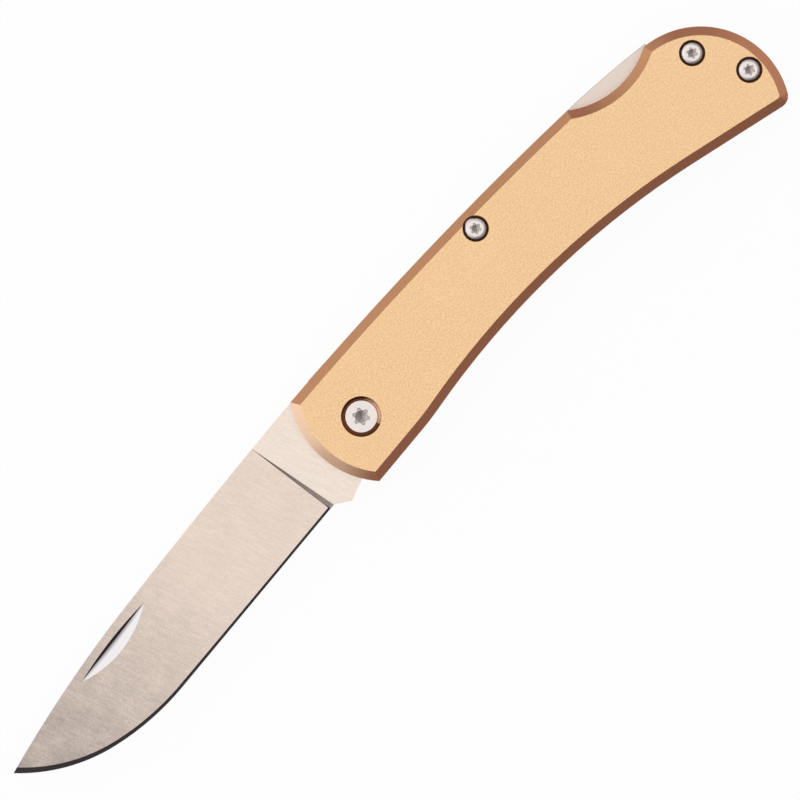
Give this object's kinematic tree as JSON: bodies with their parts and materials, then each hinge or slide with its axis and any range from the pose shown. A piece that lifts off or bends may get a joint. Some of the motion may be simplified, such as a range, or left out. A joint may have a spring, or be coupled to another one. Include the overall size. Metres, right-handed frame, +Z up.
{
  "type": "folding pocket knife",
  "caption": "Open lock-back folding pocket knife with chamfered bronze metal handle scales, a flat-ground drop-point blade with a nail nick, and a sprung lock bar in the spine.",
  "frame": {"origin": "on the blade pivot's axis, in the plane of the right scale's outer face, on which the knife lies", "axes": "+X to the butt, +Y to the spine, +Z up from the right scale to the left scale, along the blade pivot's axis"},
  "size_m": [0.1996, 0.0327, 0.0118],
  "materials": {
    "bronze_aluminium": "bead-blasted and anodised bronze, with machined chamfers",
    "blade_steel": "satin ground, with a polished flat behind the plunge",
    "bar_steel": "satin ground",
    "spring_steel": "tempered",
    "spacer_steel": "satin ground",
    "washer_bronze": "lapped bronze",
    "barrel_steel": "turned",
    "screw_steel": "turned and tumbled"
  },
  "bodies": {
    "handle": {"left_scale": "bronze_aluminium", "right_scale": "bronze_aluminium", "lock_spring": "spring_steel", "back_spacer": "spacer_steel", "left_pivot_washer": "washer_bronze", "right_pivot_washer": "washer_bronze", "pivot_barrel": "barrel_steel", "rocker_barrel": "barrel_steel", "rear_upper_barrel": "barrel_steel", "rear_lower_barrel": "barrel_steel", "left_pivot_screw": "screw_steel", "right_pivot_screw": "screw_steel", "left_rocker_screw": "screw_steel", "right_rocker_screw": "screw_steel", "left_rear_upper_screw": "screw_steel", "right_rear_upper_screw": "screw_steel", "left_rear_lower_screw": "screw_steel", "right_rear_lower_screw": "screw_steel"},
    "blade": {"blade": "blade_steel"},
    "lock_bar": {"lock_bar": "bar_steel"}
  },
  "joints": [
    {"name": "blade_pivot", "type": "hinge", "parent": "handle", "child": "blade", "pos_m": [0, 0, 0.00592], "axis": [0, 0, 1], "range_deg": [0, 172.37]},
    {"name": "lock_bar_rock", "type": "hinge", "parent": "handle", "child": "lock_bar", "pos_m": [0.04152, 0.00782, 0.00592], "axis": [0, 0, 1], "range_deg": [0, 1.21], "stiffness_Nm_per_rad": 5, "springref_deg": 6.88, "deforming": ["lock_spring"]}
  ]
}
